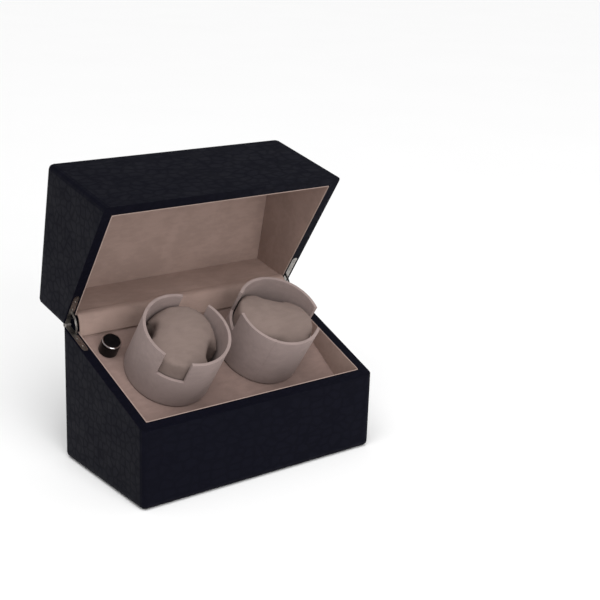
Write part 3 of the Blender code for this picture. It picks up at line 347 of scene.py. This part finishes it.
def metal(name, colour, dull, brushed=(1.0, 12.0, 12.0), fine=900.0, depth=0.00002):
    """A metal with fine scratches along the direction that is stretched least."""
    made = finish(name, Metallic=1.0)
    lines = noise(made, place(made, brushed), fine, 3.0, 0.6)
    haze = noise(made, place(made), 140.0, 3.0)
    rough = maths(made, "ADD", remap(made, lines, 0.3, 0.7, dull - 0.06, dull + 0.06),
                  remap(made, haze, 0.35, 0.65, -0.03, 0.05))
    worn = tuple(c * WORN_SHADE for c in colour)
    tone = blend_colours(made, remap(made, haze, 0.40, 0.65), colour, worn)
    return wire(made, tone, rough, lines, depth=depth, strength=0.35)


def moulded(name, colour, dull, depth=0.00003, shine=0.5):
    """Moulded plastic or rubber with a faint orange peel and a little handling haze."""
    made = finish(name, Specular_IOR_Level=shine)
    peel = noise(made, place(made), 700.0, 2.0)
    haze = noise(made, place(made), 90.0, 4.0)
    second = tuple(c * HAZE_SHADE for c in colour)
    tone = blend_colours(made, remap(made, haze, 0.35, 0.65), colour, second)
    rough = remap(made, haze, 0.3, 0.7, dull - 0.05, dull + 0.07)
    return wire(made, tone, rough, peel, depth=depth, strength=0.3)


def fibrous(name, colour, second, waves, stretch=(1, 1, 1)):
    """Felt or board: two colours in fibres, so many waves a metre."""
    made = finish(name, Specular_IOR_Level=0.15)
    hairs = noise(made, place(made, stretch), waves, 5.0, 0.75, 1.2)
    tone = blend_colours(made, remap(made, hairs, 0.32, 0.66), colour, second)
    rough = remap(made, hairs, 0.3, 0.7, 0.99, 0.85)
    return wire(made, tone, rough, hairs, strength=0.6)


finishes = {
    "navy_leather": navy_leather, "suede": lining_suede,
    "case_wood": fibrous("dyed_board", (0.010, 0.010, 0.014), (0.022, 0.019, 0.019), 420.0,
                         (1, 1, 4)),
    "felt": fibrous("wool_felt", (0.012, 0.012, 0.016), (0.040, 0.040, 0.048), 1400.0),
    "nickel": metal("nickel_plate", (0.36, 0.34, 0.32), 0.30),
    "steel": metal("turned_steel", (0.58, 0.57, 0.56), 0.32, ALL_WAYS, 500.0),
    "brass": metal("brass", (0.66, 0.48, 0.22), 0.34),
    "chrome": metal("chrome", (0.80, 0.80, 0.82), 0.10, ALL_WAYS, 300.0, 0.000005),
    "knob_black": moulded("black_lacquer", (0.003, 0.003, 0.0035), 0.16, depth=0.00001, shine=0.22),
    "white_plastic": moulded("white_acetal", (0.62, 0.61, 0.57), 0.42),
    "black_plastic": moulded("black_plastic", (0.018, 0.018, 0.019), 0.48),
    "rubber": moulded("belt_rubber", (0.020, 0.020, 0.021), 0.78, shine=0.25),
    "board": moulded("green_board", (0.020, 0.120, 0.050), 0.40),
}
pin_steel = metal("oiled_steel", (0.10, 0.095, 0.09), 0.38, ALL_WAYS, 500.0)
finishes["cup_suede"], finishes["cushion_suede"] = cup_suede, cushion_suede
print(len(finishes), "finishes")

# %% [markdown]
# ## Dressing the ready-made nodes
#
# Each node of the imported model already names the kind of finish it has. So its slot is looked
# up and exchanged for the detailed one. Only the deck, which has a darker suede than the
# lining, the oiled hinge pins, and the cups' floors, which have a suede disc on them, are told
# apart by name. No node is moved or reshaped.

# %% Dress the nodes
BY_NAME = {"deck_panel": deck_suede, "hinge_pin": pin_steel, "cup_floor": cup_suede}
for name, part in NODES.items():
    slot = part.material_slots[0].material.name.split(".")[0]
    chosen = BY_NAME.get(name.rsplit("_", 1)[0], BY_NAME.get(name, finishes[slot]))
    for held in part.material_slots:
        held.material = chosen

# %% [markdown]
# ## The cups
#
# A cup is a stiff sleeve of board, 3 mm thick, wrapped in suede: the cover is one strip, closed
# by a seam down the outside and folded over the rim, and two notches opposite each other let
# fingers reach the watch. The wall's middle surface is a cylinder, so it is a grid of angles and
# heights with the notches' faces left out. Thickness and soft edges come from modifiers, which
# keep every quad square to its neighbours. The seam is a small valley in the radius.

# %% The deck's directions and a cup's place
SPIN = {side: JOINTS[f"cup_spin_{side}"] for side in ("left", "right")}
NORMAL = np.array(SPIN["left"]["axis"], float)
NORMAL /= np.linalg.norm(NORMAL)
ACROSS = np.array([1.0, 0.0, 0.0])
UPHILL = np.cross(NORMAL, ACROSS)
CUP_TURN = {"left": math.radians(50.0), "right": math.radians(154.0)}


def cup_frame(side):
    """A cup's place and its own two directions across its axis, the first towards a notch."""
    turn = CUP_TURN[side]
    one = math.cos(turn) * ACROSS + math.sin(turn) * UPHILL
    two = -math.sin(turn) * ACROSS + math.cos(turn) * UPHILL
    return np.array(SPIN[side]["pos_m"], float), one, two


def from_cup(side, x, y, z):
    """Points in a cup's own frame, with z along its axis, as box points."""
    middle, one, two = cup_frame(side)
    x, y, z = (np.asarray(a, float)[..., None] for a in (x, y, z))
    return middle + x * one + y * two + z * NORMAL


def into_cup(side, points):
    """Box points in the cup's own frame, the reverse of from_cup."""
    middle, one, two = cup_frame(side)
    return (points - middle) @ np.stack([one, two, NORMAL], 1)


print("deck normal", NORMAL.round(4), "uphill", UPHILL.round(4))

# %% The sleeve's surface
CUP_MIDDLE = 0.0430  # radius of the wall's middle
CUP_WALL = 0.0030
CUP_LOW, CUP_HIGH, NOTCH_LOW = 0.0018, 0.0655, 0.0385
NOTCH_WIDTH = 0.0270
NOTCH_HALF = math.asin(NOTCH_WIDTH / 2 / CUP_MIDDLE)  # half of the notch as an angle
SEAM_AT = math.radians(79.0)
SEAM_DEPTH, SEAM_HALF_WIDTH = 0.00035, 0.0007
WALL_COLUMNS, NOTCH_COLUMNS, SEAM_COLUMNS = 45, 12, 13
ROWS_TO_NOTCH, ROWS_BESIDE_NOTCH = 14, 11
CUP_ROUND, CUP_ROUND_STEPS, CUP_SHARP = 0.0008, 4, 40.0  # width, steps, and from how many degrees


def sleeve_points(side):
    """Angle and height to a point: the radius is the wall's middle less the seam's valley, a
    bell curve of the distance along the wall; the radius is the same at every height."""
    between = [np.linspace(NOTCH_HALF, math.pi - NOTCH_HALF, WALL_COLUMNS),
               np.linspace(math.pi - NOTCH_HALF, math.pi + NOTCH_HALF, NOTCH_COLUMNS),
               np.linspace(math.pi + NOTCH_HALF, math.tau - NOTCH_HALF, WALL_COLUMNS),
               np.linspace(-NOTCH_HALF, NOTCH_HALF, NOTCH_COLUMNS)[1:-1] + math.tau]
    by_seam = SEAM_AT + np.linspace(-3, 3, SEAM_COLUMNS) * SEAM_HALF_WIDTH / CUP_MIDDLE
    angle = np.unique(np.concatenate(between + [by_seam]).round(9))
    height = np.concatenate([np.linspace(CUP_LOW, NOTCH_LOW, ROWS_TO_NOTCH),
                             np.linspace(NOTCH_LOW, CUP_HIGH, ROWS_BESIDE_NOTCH)[1:]])
    a, h = np.meshgrid(angle, height)
    away = (a - SEAM_AT) * CUP_MIDDLE / SEAM_HALF_WIDTH
    radius = CUP_MIDDLE - SEAM_DEPTH * np.exp(-away ** 2)
    middle = (angle + np.append(angle[1:], angle[0] + math.tau)) / 2
    in_notch = np.abs(np.sin(middle)) < math.sin(NOTCH_HALF)
    above = (height[1:] + height[:-1]) / 2 > NOTCH_LOW
    keep = ~(above[:, None] & in_notch[None, :])
    return from_cup(side, radius * np.cos(a), radius * np.sin(a), h), keep


for side in ("left", "right"):
    points, keep = sleeve_points(side)
    sleeve = grid_piece(f"cup_cover_{side}", points, wrap_columns=True, keep=keep)
    solidify(sleeve, CUP_WALL)
    round_edges(sleeve, CUP_ROUND, CUP_ROUND_STEPS, CUP_SHARP)
    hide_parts(f"cup_sleeve_{side}")
    finish_piece(sleeve, cup_suede, f"cup_{side}")

# %% [markdown]
# ## The cushions
#
# A winder's cushion is a block of foam in a tight suede cover, arched on top, with a channel on
# two sides where the watch strap passes. Foam under a cover has no flat faces and no sharp
# edges: it swells where it can and draws in at the channels. So the plain block is remeshed
# into an even net and puffed up by a cloth simulation with pressure from inside, and each
# point's travel is capped so that it stays clear of the cup.

# %% Puff up a block
CUSHION_VOXEL = 0.0030
CUSHION_TRAVEL = 0.0016  # the most that a point may move
CUSHION_RADIUS_LIMIT = 0.0409
CUSHION_QUALITY, CUSHION_PRESSURE, CUSHION_STIFFNESS, CUSHION_FRAMES = 6, 4.0, 12.0, 20
SAME_PLACE = 1e-6  # points closer than this are one
SHORTEST = 1e-9  # keeps a length from dividing by nothing


def merged_copy(name, node_name):
    """A copy of a node's mesh with its doubled points merged, as an object of its own."""
    mesh = bpy.data.meshes.new(name)
    work = bmesh.new()
    work.from_mesh(NODES[node_name].data)
    bmesh.ops.remove_doubles(work, verts=work.verts, dist=SAME_PLACE)
    work.to_mesh(mesh)
    work.free()
    mesh.materials.clear()
    copy = bpy.data.objects.new(name, mesh)
    bpy.context.scene.collection.objects.link(copy)
    return copy


def apply_modifiers(piece):
    """Makes the modifiers' result the piece's own mesh."""
    bpy.context.view_layer.update()
    seen = piece.evaluated_get(bpy.context.evaluated_depsgraph_get())
    piece.data = bpy.data.meshes.new_from_object(seen)
    piece.modifiers.clear()


def coordinates(piece):
    """All the piece's points as one array."""
    flat = np.empty(len(piece.data.vertices) * 3)
    piece.data.vertices.foreach_get("co", flat)
    return flat.reshape(-1, 3)


def set_coordinates(piece, points):
    """Writes all the points back at once."""
    piece.data.vertices.foreach_set("co", points.ravel())
    piece.data.update()


def relax(piece, share, times):
    """Moves every point a share of the way to its neighbours' mean, a number of times."""
    edges = np.empty(len(piece.data.edges) * 2, np.int64)
    piece.data.edges.foreach_get("vertices", edges)
    a, b = edges.reshape(-1, 2).T
    points = coordinates(piece)
    count = np.bincount(np.concatenate([a, b]), minlength=len(points))[:, None]
    for _ in range(times):
        total = np.stack([np.bincount(a, points[b, k], len(points))
                          + np.bincount(b, points[a, k], len(points)) for k in range(3)], 1)
        points = points + share * (total / count - points)
    set_coordinates(piece, points)


def share_within(length, limit):
    """The share of each length that keeps it within the limit."""
    return np.minimum(1.0, limit / np.maximum(length, SHORTEST))


def make_cushion(side):
    """The cushion of one cup: remeshed, puffed up, kept inside its room, and smoothed."""
    low = into_cup(side, coordinates(NODES[f"cushion_{side}"]))[:, 2].min()
    pad = merged_copy(f"cushion_cover_{side}", f"cushion_{side}")
    net = pad.modifiers.new("net", "REMESH")
    net.mode, net.voxel_size = "VOXEL", CUSHION_VOXEL
    apply_modifiers(pad)
    relax(pad, 0.5, 3)
    before = coordinates(pad)
    cloth = pad.modifiers.new("cloth", "CLOTH")
    cloth.settings.quality = CUSHION_QUALITY
    cloth.settings.use_pressure = True
    cloth.settings.uniform_pressure_force = CUSHION_PRESSURE
    cloth.settings.tension_stiffness = CUSHION_STIFFNESS
    cloth.settings.compression_stiffness = CUSHION_STIFFNESS
    cloth.settings.effector_weights.gravity = 0.0
    cloth.point_cache.frame_start, cloth.point_cache.frame_end = 1, CUSHION_FRAMES
    for step in range(1, CUSHION_FRAMES + 1):
        bpy.context.scene.frame_set(step)
    apply_modifiers(pad)
    bpy.context.scene.frame_set(1)
    move = coordinates(pad) - before
    far = np.linalg.norm(move, axis=1, keepdims=True)
    print("swelled by up to", round(float(far.max()) * 1000, 2), "mm before the cap")
    set_coordinates(pad, before + move * share_within(far, CUSHION_TRAVEL))
    relax(pad, 0.4, 2)
    x, y, z = into_cup(side, coordinates(pad)).T
    pull = share_within(np.hypot(x, y), CUSHION_RADIUS_LIMIT)
    set_coordinates(pad, from_cup(side, x * pull, y * pull, np.maximum(z, low)))
    finer = pad.modifiers.new("finer", "SUBSURF")
    finer.levels = finer.render_levels = 1
    apply_modifiers(pad)
    pad.data.shade_smooth()
    return pad


for side in ("left", "right"):
    pad = make_cushion(side)
    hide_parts(f"cushion_{side}")
    finish_piece(pad, cushion_suede, f"cushion_{side}")

# %% [markdown]
# ## The lining's edge
#
# Where the suede lining meets the leather rim its cut edge is turned over a thin core and glued,
# which leaves a fine line all round the mouth of the base and of the lid; it is drawn in a lighter
# suede, a painted highlight where the light catches the rolled edge. It is a bead: a small circle
# carried round a closed path. The path is the mouth's outline laid in the sloping rim's plane,
# and the lid's is then swung open about the hinge.

# %% A bead round the mouth
HINGE = np.array(JOINTS["lid_hinge"]["pos_m"], float)
LID_OPEN = math.radians(79.0)
RIM_BACK, RIM_FRONT, RIM_RUN = 0.139, 0.080, 0.150  # its heights and the run between them
RIM_SLOPE = math.atan2(RIM_BACK - RIM_FRONT, RIM_RUN)
MOUTH_X, MOUTH_FRONT, MOUTH_BACK = 0.1275, -0.0648, 0.0638
MOUTH_CORNER, CORNER_POINTS, STRETCH_POINTS = 0.0014, 5, 4
BEAD, BEAD_INSET, BEAD_DROP = 0.00045, 0.0008, 0.0005


def opened(points):
    """Points of the closed lid, turned about the hinge's line to where it stands open."""
    y, z = points[..., 1] - HINGE[1], points[..., 2] - HINGE[2]
    turned = points.copy()
    turned[..., 1] = HINGE[1] + y * math.cos(LID_OPEN) + z * math.sin(LID_OPEN)
    turned[..., 2] = HINGE[2] - y * math.sin(LID_OPEN) + z * math.cos(LID_OPEN)
    return turned


def mouth_path(drop):
    """A rectangle with rounded corners, inset from the mouth, in the rim's plane less drop: the
    height is the hinge's plus the run in y times the slope."""
    x1 = MOUTH_X - BEAD_INSET
    y0, y1 = MOUTH_FRONT + BEAD_INSET, MOUTH_BACK - BEAD_INSET
    turn = np.linspace(0, math.pi / 2, CORNER_POINTS)
    corners = []
    for cx, cy, start in ((x1, y1, 0.0), (-x1, y1, 1.0), (-x1, y0, 2.0), (x1, y0, 3.0)):
        a = turn + start * math.pi / 2
        inside = (cx - math.copysign(MOUTH_CORNER, cx), cy - math.copysign(MOUTH_CORNER, cy))
        corners.append(np.stack([inside[0] + MOUTH_CORNER * np.cos(a),
                                 inside[1] + MOUTH_CORNER * np.sin(a)], 1))
    flat = np.concatenate(corners)
    far = np.roll(flat, -1, 0)
    share = np.arange(STRETCH_POINTS) / STRETCH_POINTS
    flat = (flat[:, None, :] + share[None, :, None] * (far - flat)[:, None, :]).reshape(-1, 2)
    z = HINGE[2] + (flat[:, 1] - HINGE[1]) * math.tan(RIM_SLOPE) - drop / math.cos(RIM_SLOPE)
    return np.column_stack([flat, z])


def bead_points(path, radius, around=8):
    """A circle carried round a closed path: at each point the circle lies across the path, in
    the directions of the mean plane's normal and of the path's side."""
    along = np.roll(path, -1, 0) - np.roll(path, 1, 0)
    along /= np.linalg.norm(along, axis=1, keepdims=True)
    up = np.array([0.0, -math.sin(RIM_SLOPE), math.cos(RIM_SLOPE)])
    sideways = np.cross(along, up)
    a = np.arange(around) * math.tau / around
    return (path[:, None, :] + radius * (np.cos(a)[None, :, None] * sideways[:, None, :]
                                         + np.sin(a)[None, :, None] * up[None, None, :]))


# painted highlight: a lighter copy of the lining suede for the light caught on the rolled edge
edge_suede = suede("edge_suede", (0.36, 0.27, 0.235), nap=0.05, sheen=0.45)
for body, drop, swing in (("base", BEAD_DROP, False), ("lid", -BEAD_DROP, True)):
    points = bead_points(mouth_path(drop), BEAD)
    bead = grid_piece(f"{body}_lining_edge", opened(points) if swing else points,
                      wrap_rows=True, wrap_columns=True)
    finish_piece(bead, edge_suede, body)

# %% [markdown]
# ## The cloth over the hinge
#
# Between the two linings a strip of suede bridges the gap, so that no wood shows when the lid
# is up, and folds inwards when it shuts. It is one sheet: glued flat at both edges, bowed
# between them, with the slight waves that a cloth fixed along two lines always has. The bow is a
# cubic curve whose ends leave along the two walls.

# %% The hinge cloth
CLOTH_FACE = 0.0618
CLOTH_TAB = 0.0045
CLOTH_HALF_WIDTH = 0.1257
CLOTH_THICK = 0.0007
CLOTH_GAP = 0.0003  # from the rim's plane to where the bow starts, on each side
CLOTH_WAVE, CLOTH_OUT = 0.00025, (0.0, -0.77, 0.63)  # how high the waves are, and which way
CLOTH_WAVES = ((0.6, 171.0, 0.7), (0.4, 389.0, 2.1))  # share, radians a metre, start
TAB_ROWS = 4


def cloth_points(columns=121, rows=19):
    """Across and along to a point: a tab, a cubic curve from wall to wall, and the lid's tab;
    the waves are two sines across, and fade to nothing at the tabs."""
    rim = HINGE[2] + (CLOTH_FACE - HINGE[1]) * math.tan(RIM_SLOPE)
    low = np.array([0, CLOTH_FACE, rim - CLOTH_GAP])
    high = opened(np.array([0, CLOTH_FACE, rim + CLOTH_GAP]))
    start = low - [0, 0, CLOTH_TAB]
    end = opened(np.array([0, CLOTH_FACE, rim + CLOTH_GAP + CLOTH_TAB]))
    reach = np.linalg.norm(high - low) / 3
    one = low + (low - start) / CLOTH_TAB * reach
    two = high + (high - end) / CLOTH_TAB * reach
    t = np.linspace(0, 1, rows)[:, None]
    bow = ((1 - t) ** 3 * low + 3 * (1 - t) ** 2 * t * one
           + 3 * (1 - t) * t ** 2 * two + t ** 3 * high)
    tab = np.arange(TAB_ROWS)[:, None] / TAB_ROWS
    line = np.concatenate([start + tab * (low - start), bow, end + tab[::-1] * (high - end)])
    flat = np.zeros(TAB_ROWS)
    bulge = np.concatenate([flat, np.sin(math.pi * t[:, 0]), flat])
    x = np.linspace(-CLOTH_HALF_WIDTH, CLOTH_HALF_WIDTH, columns)
    wave = sum(share * np.sin(x * turns + start_at) for share, turns, start_at in CLOTH_WAVES)
    points = np.repeat(line[:, None, :], columns, 1)
    points[..., 0] = x[None, :]
    points += CLOTH_WAVE * bulge[:, None, None] * wave[None, :, None] * np.array(CLOTH_OUT)
    return points, low, high, float(np.linalg.norm(np.diff(line, axis=0), axis=1).sum())


points, low, high, cloth_length = cloth_points()
bridge = grid_piece("hinge_cloth_sheet", points)
solidify(bridge, CLOTH_THICK)
apply_modifiers(bridge)
bridge.data.shade_smooth()
bridge.data.materials.append(lining_suede)
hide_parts("hinge_cloth")
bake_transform(bridge)
print("hinge cloth", round(cloth_length * 1000, 1), "mm along the bend")

# %% [markdown]
# ## The piping on the hinge line
#
# Base and lid meet at the hinge line with half a millimetre between them, and light would leak
# through the slit. A thin leather piping fills it between the barrels. It is a long rod whose
# radius falls to nothing at both ends; as it lies on the axis, it stays there at every angle.

# %% The piping
PIPING_RADIUS = 0.0005
PIPING_HALF = 0.1292  # up to the hinges' barrels
PIPING_END, PIPING_END_RINGS = 0.0004, 5


def rod_points(half, radius, around=12):
    """Along and round to a point: the radius is full but at the two ends, where it falls to
    zero as a quarter circle does."""
    t = np.linspace(0, math.pi / 2, PIPING_END_RINGS)
    inset = PIPING_END * (1 - np.cos(t))
    x = np.concatenate([-half + inset, half - inset[::-1]])
    size = radius * np.concatenate([np.sin(t), np.sin(t[::-1])])
    a = np.arange(around) * math.tau / around
    y = HINGE[1] + size[:, None] * np.cos(a)
    z = HINGE[2] + size[:, None] * np.sin(a)
    return np.stack([np.broadcast_to(x[:, None], y.shape), y, z], -1)


piping = grid_piece("hinge_piping", rod_points(PIPING_HALF, PIPING_RADIUS), wrap_columns=True)
work = bmesh.new()
work.from_mesh(piping.data)
bmesh.ops.remove_doubles(work, verts=work.verts, dist=SAME_PLACE)
bmesh.ops.recalc_face_normals(work, faces=work.faces)
work.to_mesh(piping.data)
work.free()
finish_piece(piping, navy_leather, "base")

# %% [markdown]
# ## Floor and light
#
# The box stands on a plain white floor that runs back past the edge of the view. A large
# soft light overhead whitens the floor and the lid's upper faces; a second one from the front
# left looks into the open box. The sky is a dim even white, so that dark leather stays dark and
# its grain shows only where it turns to a light.

# %% The floor
FLOOR_HALF = 40.0
FLOOR_BELOW = 0.0002  # under the box's foot, so that the two don't share a plane
floor_line = np.linspace(-FLOOR_HALF, FLOOR_HALF, 3)
fx, fy = np.meshgrid(floor_line, floor_line)
floor = grid_piece("studio_floor", np.stack([fx, fy, np.full_like(fx, -FLOOR_BELOW)], -1))
floor_finish = finish("studio_white", Specular_IOR_Level=0.0, Roughness=1.0)
grain = noise(floor_finish, place(floor_finish), 3.0, 2.0)
wire(floor_finish, blend_colours(floor_finish, grain, (0.93, 0.93, 0.93), (0.95, 0.95, 0.95)))
floor.data.materials.append(floor_finish)
print("a floor", 2 * FLOOR_HALF, "m across")

# %% The lights
def lamp(name, kind, place_at, aim, **settings):
    """A light of a kind at a place, turned to a point; settings are its own values."""
    data = bpy.data.lights.new(name, kind)
    for key, value in settings.items():
        setattr(data, key, value)
    light = bpy.data.objects.new(name, data)
    bpy.context.scene.collection.objects.link(light)
    light.location = place_at
    light.rotation_mode = "QUATERNION"
    light.rotation_quaternion = (Vector(aim) - Vector(place_at)).to_track_quat("-Z", "Y")


BOX_MIDDLE = (0.0, 0.0, 0.15)
SKY_STRENGTH = 0.42
lamp("overhead", "SUN", (-0.75, -1.0, 2.3), BOX_MIDDLE, energy=2.15, angle=math.radians(55.0))
lamp("front_fill", "AREA", (-0.4, -2.7, 1.0), BOX_MIDDLE, shape="SQUARE", size=1.8, energy=40.0)

sky = bpy.data.worlds.new("sky")
sky.use_nodes = True
sky.node_tree.nodes["Background"].inputs["Color"].default_value = (1.0, 1.0, 1.0, 1.0)
sky.node_tree.nodes["Background"].inputs["Strength"].default_value = SKY_STRENGTH
bpy.context.scene.world = sky
bpy.context.scene.view_settings.view_transform = "Standard"
print("two lights and a sky of strength", SKY_STRENGTH)
